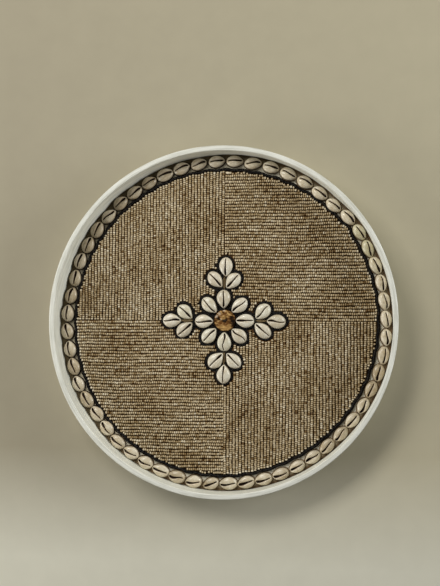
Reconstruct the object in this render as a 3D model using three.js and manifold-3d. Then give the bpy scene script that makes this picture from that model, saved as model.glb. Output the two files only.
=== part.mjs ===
// A round decorative tray: a painted hoop and board carry a cloth, and bead rows, bead outlines,
// cowrie shells and a coconut button are sewn on it.
// Millimetres, +Z up, +Y towards the top arm of the motif. The origin is the centre of the underside.

import * as THREE from 'three';
import { mergeVertices } from 'three/addons/utils/BufferGeometryUtils.js';
import Module from 'manifold-3d';

const wasm = await Module();
wasm.setup();

// Hoop, board and cloth
const trayRadius = 200;
const wellDepth = 27;
const wallThickness = 6;
const edgeRound = 2;
const rebateDepth = 3;
const boardThickness = 9;
const clothThickness = 1;

// Clearances: round the board and cloth, between sewn pieces, and round the button's thread
const boardGap = 0.3;
const sewnGap = 0.4;
const threadGap = 0.35;

// Cowries of the ring along the wall, on a number of strings of equal length
const rimShellLength = 19.6;
const rimShellWidth = 13.6;
const rimShellHeight = 6.2;
const rimShellSpacing = 1.25;
const rimStrings = 14;
const rimWallGap = 0.8;
const firstRimShellAngle = 2.5;

// Cowries of the motif, and the slit that all cowries have
const motifShellLength = 21.2;
const motifShellWidth = 15.6;
const motifShellHeight = 6.8;
const slitWidth = 1.7;
const slitDepth = 2.2;
const slitBow = 0.5;

// Bead rows of the four panels, and the black strands of the border and of the outlines. The border's
// strand lies with a gap to the shells and one to the ends of the rows.
const beadDiameter = 3.1;
const rowSpacing = 0.42;
const threadBed = 0.9;
const ridgeSlope = 0.6;
const borderBeadDiameter = 3.1;
const borderShellGap = 1.5;
const borderFieldGap = 0.9;
const outlineBeadDiameter = 2.9;

// Motif: the petals round the button, then two side shells and an end shell on each arm
const petalCount = 8;
const petalGap = 2.1;
const sideShellTurn = 43;
const sideTipAcross = 3.2;
const sideTipAlong = 2.4;
const endTipAlong = 15;

// Button and threads
const buttonRadius = 12.2;
const buttonThickness = 4.4;
const buttonEdge = 1.2;
const buttonDish = 0.5;
const buttonHoleRadius = 1;
const buttonHolePitch = 3.6;
const buttonHoleTurn = 25;
const stitchRadius = 0.6;
const threadRadius = 0.5;
const threadHeight = 1.3;
const threadGrip = 2;

// Facets of the round pieces, of a rounded lip, of a shell's length, and of the button and threads
const roundSides = 60;
const lipSteps = 2;
const shellBays = 5;
const buttonSides = 20;
const holeSides = 8;
const threadSides = 4;
const stitchSteps = 16;

// How far a cutting solid runs past what it cuts
const overcut = 1;

// Levels and radii that follow
const clothTop = boardThickness + clothThickness;
const trayHeight = clothTop + wellDepth;
const innerRadius = trayRadius - wallThickness;
const flatShare = Math.cos(Math.PI / roundSides);
const shellRingRadius = innerRadius * flatShare - rimWallGap - rimShellWidth / 2;
const borderOuterRadius = shellRingRadius - rimShellWidth / 2 - borderShellGap;
const borderInnerRadius = borderOuterRadius - borderBeadDiameter;
const fieldRadius = borderInnerRadius - borderFieldGap;
const petalTipRadius = buttonRadius + petalGap;
const petalEndRadius = petalTipRadius + motifShellLength;

const rimShell = {
  length: rimShellLength,
  width: rimShellWidth,
  height: rimShellHeight,
  roundFlanks: false,
};
const motifShell = {
  length: motifShellLength,
  width: motifShellWidth,
  height: motifShellHeight,
  roundFlanks: true,
};

function finish(color, roughness, metalness = 0) {
  return new THREE.MeshStandardMaterial({ color, roughness, metalness });
}

const finishes = {
  paint: finish(0xdedfd6, 0.55),
  cloth: finish(0xb9b1a0, 0.95),
  shell: finish(0xdcd3bf, 0.35),
  goldBeads: finish(0x9c8560, 0.35, 0.2),
  blackBeads: finish(0x0d0b0a, 0.3),
  coconut: finish(0x8a5f30, 0.45),
  thread: finish(0x6b5432, 0.9),
};

function radians(degrees) {
  return THREE.MathUtils.degToRad(degrees);
}

// A solid that can be cut and joined, from a closed geometry
function solidOf(geometry) {
  const bare = geometry.clone();
  bare.deleteAttribute('normal');
  bare.deleteAttribute('uv');
  const merged = mergeVertices(bare);
  const vertProperties = merged.attributes.position.array;
  const triVerts = new Uint32Array(merged.index.array);
  return new wasm.Manifold(new wasm.Mesh({ numProp: 3, vertProperties, triVerts }));
}

function geometryOf(solid) {
  const { vertProperties, triVerts } = solid.getMesh();
  const geometry = new THREE.BufferGeometry();
  geometry.setAttribute('position', new THREE.BufferAttribute(vertProperties, 3));
  geometry.setIndex(new THREE.BufferAttribute(triVerts, 1));
  return geometry;
}

function united(geometries) {
  return geometries.map(solidOf).reduce((whole, next) => whole.add(next));
}

// A ring or disc turned about +Z from a profile of radius and height
function turned(profile, sides = roundSides) {
  const points = profile.map(([radius, height]) => new THREE.Vector2(radius, height));
  return new THREE.LatheGeometry(points, sides).rotateX(Math.PI / 2);
}

function disc(radius, bottom, top, sides = roundSides) {
  return turned([[0, bottom], [radius, bottom], [radius, top], [0, top]], sides);
}

// A plate pulled up from an outline on the plane
function plate(outline, bottom, top) {
  const options = { depth: top - bottom, bevelEnabled: false };
  return new THREE.ExtrudeGeometry(new THREE.Shape(outline), options).translate(0, 0, bottom);
}

function thread(path, radius, steps) {
  const section = Array.from({ length: threadSides }, (_, i) => {
    const angle = (2 * Math.PI * i) / threadSides;
    return new THREE.Vector2(radius * Math.cos(angle), radius * Math.sin(angle));
  });
  const options = { extrudePath: path, steps, bevelEnabled: false };
  return new THREE.ExtrudeGeometry(new THREE.Shape(section), options);
}

// Hoop: a straight wall with a rounded lip, and a rebate below that holds the board
function hoopGeometry() {
  const lip = (centre, from) => Array.from({ length: lipSteps + 1 }, (_, i) => {
    const angle = from + (Math.PI / 2) * (i / lipSteps);
    return [centre + edgeRound * Math.cos(angle), trayHeight - edgeRound + edgeRound * Math.sin(angle)];
  });
  const footRadius = innerRadius + rebateDepth;
  return turned([
    [footRadius, 0],
    [trayRadius, 0],
    ...lip(trayRadius - edgeRound, 0),
    ...lip(innerRadius + edgeRound, Math.PI / 2),
    [innerRadius, boardThickness],
    [footRadius, boardThickness],
    [footRadius, 0],
  ]);
}

function boardGeometry() {
  return disc(innerRadius + rebateDepth - boardGap, 0, boardThickness);
}

function clothGeometry() {
  return disc(innerRadius - boardGap, boardThickness, clothTop);
}

// A cowrie lies with its slit up on a flat cut back, its tip at the origin and its length along +X.
// Its half width is that of an ellipse drawn in towards the tip, and t runs from the tip to the end.
const cowrie = {
  tipTaper: 0.4,
  widestPlace: 0.57,
  crownFlatness: 0.3,
  tipSlit: 1.3,
  slitNarrowing: 0.6,
  flank: { out: 0.97, up: 0.5 },
  shoulder: { out: 0.6, up: 0.92 },
};

function cowrieStation(k) {
  return (1 - Math.cos((Math.PI * k) / shellBays)) / 2;
}

function cowrieBulge(t) {
  return Math.sqrt(t * (1 - t)) * (1 - cowrie.tipTaper * (1 - t) ** 3);
}

function cowrieHalfWidth(shell, t) {
  return (shell.width / 2) * (cowrieBulge(t) / cowrieBulge(cowrie.widestPlace));
}

// One cross-section: a low dome whose two lips roll into the slit, which is widest at the tip
function cowrieSection(shell, t) {
  const swell = 4 * t * (1 - t);
  const halfWidth = cowrieHalfWidth(shell, t);
  const crown = shell.height * swell ** cowrie.crownFlatness;
  const slitCentre = -slitBow * swell;
  const slitHalf = (slitWidth / 2) * Math.sqrt(swell) * (cowrie.tipSlit - cowrie.slitNarrowing * t);
  const slitFloor = crown * (1 - slitDepth / shell.height);
  const half = (side) => {
    const edge = side * halfWidth;
    const lip = slitCentre + side * slitHalf;
    const shoulder = lip + cowrie.shoulder.out * (edge - lip);
    const flank = shell.roundFlanks ? [[cowrie.flank.out * edge, cowrie.flank.up * crown]] : [];
    return [[edge, 0], ...flank, [shoulder, cowrie.shoulder.up * crown], [lip, crown]];
  };
  return [...half(-1), [slitCentre, slitFloor], ...half(1).reverse()];
}

// Loft of the sections between a point at the tip and a point at the end
function cowrieGeometry(shell) {
  const places = Array.from({ length: shellBays - 1 }, (_, k) => cowrieStation(k + 1));
  const sections = places.map((t) => cowrieSection(shell, t));
  const size = sections[0].length;
  const vertices = [[0, 0, 0], [shell.length, 0, 0]];
  places.forEach((t, k) => sections[k].forEach(([y, z]) => vertices.push([t * shell.length, y, z])));
  const at = (k, i) => 2 + k * size + (i % size);
  const triangles = [];
  for (let i = 0; i < size; i += 1) {
    triangles.push([0, at(0, i), at(0, i + 1)]);
    for (let k = 0; k + 1 < places.length; k += 1) {
      triangles.push([at(k, i), at(k + 1, i), at(k, i + 1)]);
      triangles.push([at(k, i + 1), at(k + 1, i), at(k + 1, i + 1)]);
    }
    triangles.push([1, at(places.length - 1, i + 1), at(places.length - 1, i)]);
  }
  const geometry = new THREE.BufferGeometry();
  geometry.setAttribute('position', new THREE.Float32BufferAttribute(vertices.flat(), 3));
  geometry.setIndex(triangles.flat());
  return geometry;
}

// A cowrie's outline on the cloth, with every edge moved out by an offset
function cowrieOutline(shell, offset) {
  const count = 2 * shellBays;
  const corners = Array.from({ length: count }, (_, i) => {
    const t = cowrieStation(i);
    const side = i > shellBays ? 1 : -1;
    return new THREE.Vector2(t * shell.length, side * cowrieHalfWidth(shell, t));
  });
  const edgeNormal = (i) => {
    const edge = corners[(i + 1) % count].clone().sub(corners[i % count]).normalize();
    return new THREE.Vector2(edge.y, -edge.x);
  };
  return corners.map((corner, i) => {
    const before = edgeNormal(i + count - 1);
    const after = edgeNormal(i);
    const reach = offset / (1 + before.dot(after));
    return before.add(after).multiplyScalar(reach).add(corner);
  });
}

// Rim cowries: each string holds as many shells end to end as its stretch of the wall takes, their
// tips clockwise, and what is left of the stretch widens the spaces between them
const stringLength = (2 * Math.PI * shellRingRadius) / rimStrings;
const rimShellsPerString = Math.floor(stringLength / (rimShellLength + rimShellSpacing));
const rimShellStep = (2 * Math.PI) / (rimStrings * rimShellsPerString);

function onRing(geometry, angle) {
  return geometry.rotateZ(Math.PI / 2).translate(shellRingRadius, 0, clothTop).rotateZ(angle);
}

function rimStringGeometry() {
  const shells = Array.from({ length: rimShellsPerString }, (_, i) => (
    onRing(cowrieGeometry(rimShell).translate(-rimShellLength / 2, 0, 0), i * rimShellStep)
  ));
  const reach = rimShellLength / 2 - threadGrip;
  const endOf = (shell, side) => new THREE.Vector3(shellRingRadius, side * reach, clothTop + threadHeight)
    .applyAxisAngle(new THREE.Vector3(0, 0, 1), shell * rimShellStep);
  const links = Array.from({ length: rimShellsPerString - 1 }, (_, i) => (
    thread(new THREE.LineCurve3(endOf(i, 1), endOf(i + 1, -1)), threadRadius, 1)
  ));
  return geometryOf(united([...shells, ...links]));
}

// Places of the motif's cowries: the tip's place, and the way from tip to end
function petalPlaces() {
  return Array.from({ length: petalCount }, (_, i) => {
    const angle = (2 * Math.PI * i) / petalCount;
    const x = petalTipRadius * Math.cos(angle);
    const y = petalTipRadius * Math.sin(angle);
    return { name: `petal_cowrie_${i + 1}`, x, y, angle };
  });
}

function armPlaces() {
  const arms = { right: 0, top: 90, left: 180, bottom: 270 };
  const shells = {
    end: { along: endTipAlong, across: 0, turn: 0 },
    side_a: { along: sideTipAlong, across: sideTipAcross, turn: sideShellTurn },
    side_b: { along: sideTipAlong, across: -sideTipAcross, turn: -sideShellTurn },
  };
  return Object.entries(arms).flatMap(([arm, armAngle]) => (
    Object.entries(shells).map(([shell, { along, across, turn }]) => {
      const tip = new THREE.Vector2(petalEndRadius + along, across);
      tip.rotateAround(new THREE.Vector2(), radians(armAngle));
      return { name: `${arm}_arm_${shell}_cowrie`, x: tip.x, y: tip.y, angle: radians(armAngle + turn) };
    })
  ));
}

const motifPlaces = [...petalPlaces(), ...armPlaces()];

// The ground that the motif's shells and button cover, widened by an offset
function motifGround(offset, bottom, top) {
  const shells = motifPlaces.map(({ x, y, angle }) => (
    plate(cowrieOutline(motifShell, offset), bottom, top).rotateZ(angle).translate(x, y, 0)
  ));
  return united([...shells, disc(buttonRadius + offset, bottom, top, buttonSides)]);
}

// Black strands round every shell of the motif, which meet between the shells
function outlineGeometry() {
  const strands = motifGround(sewnGap + outlineBeadDiameter, clothTop, clothTop + outlineBeadDiameter);
  const shells = motifGround(sewnGap, clothTop - overcut, clothTop + outlineBeadDiameter + overcut);
  return geometryOf(strands.subtract(shells));
}

// The flat top of a strand of beads seen from its end, as far in from its edges as it slopes
function crest(edge, diameter) {
  return [[edge + ridgeSlope, diameter], [edge + diameter - ridgeSlope, diameter]];
}

// The black strand round the field
function borderGeometry() {
  const top = crest(borderInnerRadius, borderBeadDiameter).reverse();
  const section = [[borderOuterRadius, 0], ...top, [borderInnerRadius, 0], [borderOuterRadius, 0]];
  return turned(section.map(([radius, height]) => [radius, clothTop + height]));
}

// One quarter of the field: bead rows along +X, side by side towards +Y, cut to the border and motif
function beadPanelGeometry() {
  const start = sewnGap / 2;
  const pitch = beadDiameter + rowSpacing;
  const rowCount = Math.ceil(fieldRadius / pitch);
  const ridges = Array.from({ length: rowCount }, (_, row) => (
    [...crest(start + row * pitch, beadDiameter), [start + (row + 1) * pitch, threadBed]]
  )).flat();
  const comb = [[start, 0], [start, threadBed], ...ridges, [start + rowCount * pitch, 0]];
  const rows = plate(comb.map(([across, up]) => new THREE.Vector2(across, up)), 0, fieldRadius)
    .rotateX(Math.PI / 2)
    .rotateZ(Math.PI / 2)
    .translate(start, 0, clothTop);
  const bottom = clothTop - overcut;
  const top = clothTop + beadDiameter + overcut;
  const field = solidOf(disc(fieldRadius, bottom, top));
  const motif = motifGround(2 * sewnGap + outlineBeadDiameter, bottom, top);
  return geometryOf(solidOf(rows).intersect(field).subtract(motif));
}

// Coconut button: a disc with eased edges, a dished face and two thread holes
function buttonGeometry() {
  const top = clothTop + buttonThickness;
  const body = turned([
    [0, clothTop],
    [buttonRadius - buttonEdge, clothTop],
    [buttonRadius, clothTop + buttonEdge],
    [buttonRadius, top - buttonEdge],
    [buttonRadius - buttonEdge, top],
    [buttonRadius - 2 * buttonEdge, top],
    [buttonRadius - 3 * buttonEdge, top - buttonDish],
    [0, top - buttonDish],
  ], buttonSides);
  const hole = (side) => disc(buttonHoleRadius, clothTop - overcut, top + overcut, holeSides)
    .translate((side * buttonHolePitch) / 2, 0, 0);
  return geometryOf(solidOf(body).subtract(united([hole(-1), hole(1)]))).rotateZ(radians(buttonHoleTurn));
}

// The stitch that holds the button: up through one hole, over the face and down the other
function stitchGeometry() {
  const half = buttonHolePitch / 2;
  const over = clothTop + buttonThickness - buttonDish + threadGap + stitchRadius;
  const bend = stitchRadius;
  const point = (x, z) => new THREE.Vector3(x, 0, z);
  const foot = (side) => point(side * half, clothTop);
  const legEnd = (side) => point(side * half, over - bend);
  const corner = (side) => point(side * half, over);
  const barEnd = (side) => point(side * (half - bend), over);
  const path = new THREE.CurvePath();
  path.add(new THREE.LineCurve3(foot(-1), legEnd(-1)));
  path.add(new THREE.QuadraticBezierCurve3(legEnd(-1), corner(-1), barEnd(-1)));
  path.add(new THREE.LineCurve3(barEnd(-1), barEnd(1)));
  path.add(new THREE.QuadraticBezierCurve3(barEnd(1), corner(1), legEnd(1)));
  path.add(new THREE.LineCurve3(legEnd(1), foot(1)));
  return thread(path, stitchRadius, stitchSteps).rotateZ(radians(buttonHoleTurn));
}

const tray = new THREE.Group();

function place(name, geometry, material, { x = 0, y = 0, z = 0, angle = 0 } = {}) {
  const mesh = new THREE.Mesh(geometry, material);
  mesh.name = name;
  mesh.position.set(x, y, z);
  mesh.rotation.z = angle;
  tray.add(mesh);
}

place('rim_hoop', hoopGeometry(), finishes.paint);
place('base_board', boardGeometry(), finishes.paint);
place('backing_cloth', clothGeometry(), finishes.cloth);

const beadPanel = beadPanelGeometry();
['top_right', 'top_left', 'bottom_left', 'bottom_right'].forEach((corner, i) => {
  place(`bead_panel_${corner}`, beadPanel, finishes.goldBeads, { angle: (i * Math.PI) / 2 });
});
place('border_bead_ring', borderGeometry(), finishes.blackBeads);
place('motif_outline_beads', outlineGeometry(), finishes.blackBeads);

const motifCowrie = cowrieGeometry(motifShell);
motifPlaces.forEach(({ name, x, y, angle }) => {
  place(name, motifCowrie, finishes.shell, { x, y, z: clothTop, angle });
});
place('coconut_button', buttonGeometry(), finishes.coconut);
place('button_thread', stitchGeometry(), finishes.thread);

const rimString = rimStringGeometry();
for (let i = 0; i < rimStrings; i += 1) {
  const angle = radians(firstRimShellAngle) + (2 * Math.PI * i) / rimStrings;
  place(`rim_cowrie_string_${String(i + 1).padStart(2, '0')}`, rimString, finishes.shell, { angle });
}

export default tray;
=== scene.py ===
"""Looks of a round beaded tray with a ring of cowries and a cowrie motif round a coconut button.
Metres, +Z up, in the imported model's frame: +Y is towards the motif's top arm."""

import math
from collections import namedtuple

import bpy
import numpy as np
from mathutils import Matrix, Vector
from numpy.linalg import norm


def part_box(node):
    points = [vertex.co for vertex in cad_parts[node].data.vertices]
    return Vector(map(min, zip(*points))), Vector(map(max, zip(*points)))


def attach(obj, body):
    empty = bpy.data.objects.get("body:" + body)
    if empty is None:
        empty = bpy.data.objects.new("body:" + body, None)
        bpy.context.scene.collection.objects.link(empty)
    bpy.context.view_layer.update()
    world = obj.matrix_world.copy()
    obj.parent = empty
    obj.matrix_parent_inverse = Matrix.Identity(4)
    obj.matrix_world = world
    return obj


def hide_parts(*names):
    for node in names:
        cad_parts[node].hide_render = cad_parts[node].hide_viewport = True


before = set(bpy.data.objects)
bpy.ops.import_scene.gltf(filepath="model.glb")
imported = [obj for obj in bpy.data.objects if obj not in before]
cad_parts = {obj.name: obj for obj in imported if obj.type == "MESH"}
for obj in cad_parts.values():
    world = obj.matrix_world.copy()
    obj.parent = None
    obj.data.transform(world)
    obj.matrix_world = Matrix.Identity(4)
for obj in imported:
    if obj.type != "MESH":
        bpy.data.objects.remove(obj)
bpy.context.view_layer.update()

MM = 0.001
rng = np.random.default_rng(20)


# Sizes from the frame

def points_of(node):
    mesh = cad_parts[node].data
    points = np.empty(3 * len(mesh.vertices), np.float32)
    mesh.vertices.foreach_get("co", points)
    return points.reshape(-1, 3).astype(float)


def reach_of(node):
    """A node's least and greatest distance from the tray's axis"""
    x, y, _ = points_of(node).T
    radii = np.hypot(x, y)
    return radii.min(), radii.max()


HOOP_INNER, HOOP_OUTER = reach_of("rim_hoop")
HOOP_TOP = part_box("rim_hoop")[1].z
BOARD_RADIUS = reach_of("base_board")[1]
BOARD_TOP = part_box("base_board")[1].z
CLOTH_RADIUS = reach_of("backing_cloth")[1]
CLOTH_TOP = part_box("backing_cloth")[1].z
BORDER_MIDDLE = sum(reach_of("border_bead_ring")) / 2
FIELD_RADIUS = reach_of("bead_panel_top_right")[1]
BUTTON_RADIUS = reach_of("coconut_button")[1]
BUTTON_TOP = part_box("coconut_button")[1].z

# Hoop and board
REBATE = 3 * MM
LIP_ROUND = 1.1 * MM
FOOT_ROUND = 0.8 * MM
LIP_STEPS = 6
HOOP_SIDES = 240
HOOP_WOBBLE = 0.25 * MM
SWELL_BEHIND = 0.3 * MM

# The seams and the motif are sewn a little off the tray's centre
OFF_CENTRE = np.array([2.1 * MM, 1.1 * MM])
BUTTON_CENTRE = OFF_CENTRE + (1.0 * MM, 0.3 * MM)

# Cowries of the ring, whose tips point clockwise
RIM_SHELLS = 56
SHELLS_ON_A_STRING = 4
FIRST_RIM_ANGLE = math.radians(2.5)
RIM_SHELL = (20.5 * MM, 14.0 * MM, 6.2 * MM)
RIM_WALL_GAP = 0.9 * MM

# Where the ring of shells lies inwards, and the wall swells behind it: degrees, millimetres
RING_DRIFT = [(1, 0.8), (27, 1.3), (34, -0.3), (40, 1.1), (46, 2.8), (53, 2.1), (66, 0.8), (86, 0.9),
              (99, 1.9), (105, 1.3), (125, 2.3), (131, 1.1), (138, 2.5), (145, 1.6), (157, 1.8), (164, 3.2),
              (171, 2.5), (178, 0.1), (190, 0.8), (197, 0.5), (203, -0.7), (216, 2.2), (229, -0.3),
              (260, -0.5), (272, 0.5), (291, 1.3), (317, 1.8), (336, 0.9), (342, -0.1), (355, -0.2)]

# Shells of the ring that are turned out of line, by their place in it, in degrees
ASKEW = {25: 8, 26: -14, 33: -9, 40: 10, 41: 22}


def ring_drift(turn):
    """How far inwards the ring lies at an angle"""
    angles, inwards = np.array(RING_DRIFT).T
    return np.interp(np.degrees(turn), angles, inwards, period=360) * MM


# Cowries of the motif
MOTIF_SHELL = (22.3 * MM, 15.8 * MM, 6.8 * MM)
OUTLINE_SIDES = 40

# Beads: pitch of the rows, and of the beads on a strand
BEAD_DIAMETER = 2.9 * MM
BEAD_HOLE = 0.9 * MM
BEAD_STEP = 2.36 * MM
ROW_PITCH = 3.52 * MM
SEAM_GAP = 0.2 * MM
BORDER_BEAD = 3.3 * MM
OUTLINE_BEAD = 2.2 * MM
BLACK_BEAD_STEP = 1.8 * MM
SEWN_GAP = 0.15 * MM
BED_HEIGHT = 0.6 * MM
BED_SIDES = 720
THREAD_RADIUS = 0.5 * MM


# Shapes as arrays

Shape = namedtuple("Shape", "points faces values", defaults=[{}])


def full_turn(steps):
    """Even angles round a circle"""
    return 2 * np.pi * np.arange(steps) / steps


def towards(angles):
    """Points of the unit circle"""
    return np.stack([np.cos(angles), np.sin(angles)], -1)


def angle_from(start, turn):
    """The angle from start to turn, the shorter way round"""
    return (turn - start + np.pi) % (2 * np.pi) - np.pi


def turned_by(angle):
    """The matrix that turns rows of points on the plane"""
    c, s = math.cos(angle), math.sin(angle)
    return np.array([[c, s], [-s, c]])


def on_plane(points, x, y, angle):
    """Points on the plane turned and moved"""
    return points @ turned_by(angle) + (x, y)


def lifted(flat, z):
    """Points on the plane at a height, or each at its own"""
    return np.column_stack([flat, np.broadcast_to(z, len(flat))])


def ways_along(path, closed=True):
    """Unit vectors along a path, one at each point"""
    ways = np.roll(path, -1, 0) - np.roll(path, 1, 0) if closed else np.gradient(path, axis=0)
    return ways / norm(ways, axis=1, keepdims=True)


def stacked(shapes):
    """One shape from several, its faces grouped by their number of corners"""
    faces = {}
    start = 0
    for shape in shapes:
        for group in shape.faces:
            faces.setdefault(group.shape[1], []).append(group + start)
        start += len(shape.points)
    values = {key: np.concatenate([shape.values[key] for shape in shapes]) for key in shapes[0].values}
    points = np.concatenate([shape.points for shape in shapes])
    return Shape(points, [np.concatenate(groups) for groups in faces.values()], values)


def placed(shape, x, y, angle, z=0.0):
    """A shape turned about +Z and moved"""
    points = shape.points + (0, 0, z)
    points[:, :2] = on_plane(points[:, :2], x, y, angle)
    return shape._replace(points=points)


def ring_quads(rings, around, closed=False):
    """Quads between closed rings of points, and from the last ring to the first if closed"""
    count = rings if closed else rings - 1
    ring, place = np.meshgrid(np.arange(count), np.arange(around), indexing="ij")
    above = (ring + 1) % rings
    beside = (place + 1) % around
    corners = (ring * around + place, above * around + place,
               above * around + beside, ring * around + beside)
    return np.stack(corners, -1).reshape(-1, 4)


def tube(path, radius, sides=6, closed=False):
    """A round tube along points that lie more or less level"""
    ways = ways_along(path, closed)
    across = np.cross(ways, (0, 0, 1))
    across /= norm(across, axis=1, keepdims=True)
    up = np.cross(across, ways)
    turn = full_turn(sides)
    ring = np.cos(turn)[None, :, None] * across[:, None] + np.sin(turn)[None, :, None] * up[:, None]
    points = (path[:, None] + radius * ring).reshape(-1, 3)
    faces = [ring_quads(len(path), sides, closed)]
    if not closed:
        caps = np.arange(sides)[None]
        faces.append(np.concatenate([caps, caps[:, ::-1] + (len(path) - 1) * sides]))
    return Shape(points, faces)


def end_fans(points, around, ends):
    """Rings of points with a point more at each end, and the triangles that close them"""
    side = np.arange(around)
    after = (side + 1) % around
    hub = np.full(around, len(points))
    last = len(points) - around
    fans = [np.stack([hub, side, after], -1), np.stack([hub + 1, last + after, last + side], -1)]
    return np.concatenate([points, ends]), np.concatenate(fans)


def lathe(profile, sides, closed=True):
    """A profile of (radius, height), anticlockwise, turned about the axis. An open one ends on it"""
    turn = full_turn(sides)
    profile = np.asarray(profile)
    rings = profile if closed else profile[1:-1]
    x = rings[:, :1] * np.cos(turn)
    y = rings[:, :1] * np.sin(turn)
    z = np.repeat(rings[:, 1:], sides, 1)
    points = np.stack([x, y, z], -1).reshape(-1, 3)
    faces = [ring_quads(len(rings), sides, closed)[:, ::-1]]
    if not closed:
        points, fans = end_fans(points, sides, [(0, 0, profile[0][1]), (0, 0, profile[-1][1])])
        faces.append(fans[:, ::-1])
    return Shape(points, faces)


def arc(centre, radius, start, end, steps):
    """Points of a profile from start to end, in degrees"""
    angles = np.radians(np.linspace(start, end, steps + 1))
    return [(centre[0] + radius * math.cos(a), centre[1] + radius * math.sin(a)) for a in angles]


# Pieces

def added(name, data):
    """A new object in the scene"""
    made = bpy.data.objects.new(name, data)
    bpy.context.scene.collection.objects.link(made)
    return made


def piece(name, shape, material, slot, *nodes, flat_map=False):
    """An object of a shape. A flat map lays it out for baking as seen from above"""
    mesh = bpy.data.meshes.new(name)
    sizes = np.concatenate([np.full(len(group), group.shape[1]) for group in shape.faces])
    corners = np.concatenate([group.ravel() for group in shape.faces]).astype(np.int32)
    mesh.vertices.add(len(shape.points))
    mesh.vertices.foreach_set("co", shape.points.astype(np.float32).ravel())
    mesh.loops.add(len(corners))
    mesh.loops.foreach_set("vertex_index", corners)
    mesh.polygons.add(len(sizes))
    mesh.polygons.foreach_set("loop_start", (np.cumsum(sizes) - sizes).astype(np.int32))
    mesh.update(calc_edges=True)
    mesh.shade_smooth()
    for key, values in shape.values.items():
        layer = mesh.attributes.new(key, "FLOAT", "POINT")
        layer.data.foreach_set("value", values.astype(np.float32))
    if flat_map:
        low = shape.points[:, :2].min(0)
        size = np.ptp(shape.points[:, :2], axis=0).max()
        layer = mesh.uv_layers.new(name="OFBake")
        layer.data.foreach_set("uv", ((shape.points[corners, :2] - low) / size).astype(np.float32).ravel())
    mesh.materials.append(material)
    made = added(name, mesh)
    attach(made, "root")
    if nodes:
        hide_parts(*nodes)
    return made


# Materials

def linear(colour):
    """The shader's numbers for a colour as a screen shows it, from 0 to 255"""
    shares = [value / 255 for value in colour]
    return (*[v / 12.92 if v <= 0.04045 else ((v + 0.055) / 1.055) ** 2.4 for v in shares], 1)


class Shade:
    """A material's node tree. Its ramps and mixes take colours from 0 to 255, and its ramps also shares"""

    def __init__(self, name, sockets):
        self.material = bpy.data.materials.new(name)
        self.material.use_nodes = True
        self.tree = self.material.node_tree
        self.shader = self.tree.nodes["Principled BSDF"]
        self.feed(self.shader, sockets)

    def feed(self, node, inputs):
        for name, value in inputs.items():
            if isinstance(value, bpy.types.NodeSocket):
                self.tree.links.new(value, node.inputs[name])
            else:
                node.inputs[name].default_value = value

    def add(self, kind, inputs, output=0, **settings):
        node = self.tree.nodes.new("ShaderNode" + kind)
        for name, value in settings.items():
            setattr(node, name, value)
        self.feed(node, inputs)
        return node.outputs[output]

    def place(self):
        return self.add("TexCoord", {}, "Object")

    def attribute(self, name):
        return self.add("Attribute", {}, "Fac", attribute_name=name)

    def math(self, operation, first, second):
        return self.add("Math", {0: first, 1: second}, operation=operation)

    def fade(self, value, start, end):
        """0 where the value is at start or before it, and 1 at end or past it"""
        return self.add("MapRange", {"Value": value, "From Min": start, "From Max": end})

    def noise(self, scale, detail=4.0, roughness=0.6, vector=None):
        return self.add("TexNoise", {"Vector": vector or self.place(), "Scale": scale, "Detail": detail,
                                     "Roughness": roughness})

    def ramp(self, factor, *stops):
        node = self.tree.nodes.new("ShaderNodeValToRGB")
        self.feed(node, {"Fac": factor})
        elements = node.color_ramp.elements
        while len(elements) < len(stops):
            elements.new(1)
        for element, (position, colour) in zip(elements, stops):
            element.position = position
            element.color = linear(colour) if isinstance(colour, tuple) else (colour, colour, colour, 1)
        return node.outputs[0]

    def mix(self, factor, first, second, blend="MIX"):
        first, second = (linear(tone) if isinstance(tone, tuple) else tone for tone in (first, second))
        return self.add("MixRGB", {"Fac": factor, "Color1": first, "Color2": second}, blend_type=blend)

    def finished(self, colour, height=None, strength=0.0, distance=0.0):
        """The material with its colour, and a bump where it has one"""
        self.feed(self.shader, {"Base Color": colour})
        if height:
            bump = self.add("Bump", {"Height": height, "Strength": strength, "Distance": distance})
            self.feed(self.shader, {"Normal": bump})
        return self.material


# Painted shade darkens the cloth under the ring of shells, and more at the wall's foot, at these distances
# from the axis
SHELL_SHADE_REACH = (182 * MM, 187 * MM)
FOOT_SHADE_REACH = (187 * MM, 191 * MM)

# Painted shadow of the upper left lamp: the way to the tray's lower right, and from where to where along it
# the painted shade fades
LESS_SHADE_WAY = (0.9, -0.44, 0)
LESS_SHADE_SPAN = (-110 * MM, 20 * MM)


def distance_from_axis(shade):
    """How far a point is from the tray's axis"""
    flat = shade.add("VectorMath", {0: shade.place(), 1: (1, 1, 0)}, operation="MULTIPLY")
    return shade.add("VectorMath", {0: flat}, "Value", operation="LENGTH")


def to_lower_right(shade):
    """From 0 at the tray's upper left to 1 at its lower right, where the painted shade is faintest"""
    way = shade.add("VectorMath", {0: shade.place(), 1: LESS_SHADE_WAY}, "Value", operation="DOT_PRODUCT")
    return shade.fade(way, *LESS_SHADE_SPAN)


def round_place(shade, along, across):
    """Coordinates that stretch a pattern round the tray's axis"""
    x, y, z = (shade.add("SeparateXYZ", {"Vector": shade.place()}, axis) for axis in "XYZ")
    radius = distance_from_axis(shade)
    turn_x, turn_y = (shade.math("MULTIPLY", shade.math("DIVIDE", side, radius), along) for side in (x, y))
    level = shade.math("MULTIPLY", shade.math("ADD", radius, z), across)
    return shade.add("CombineXYZ", {"X": turn_x, "Y": turn_y, "Z": level})


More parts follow.
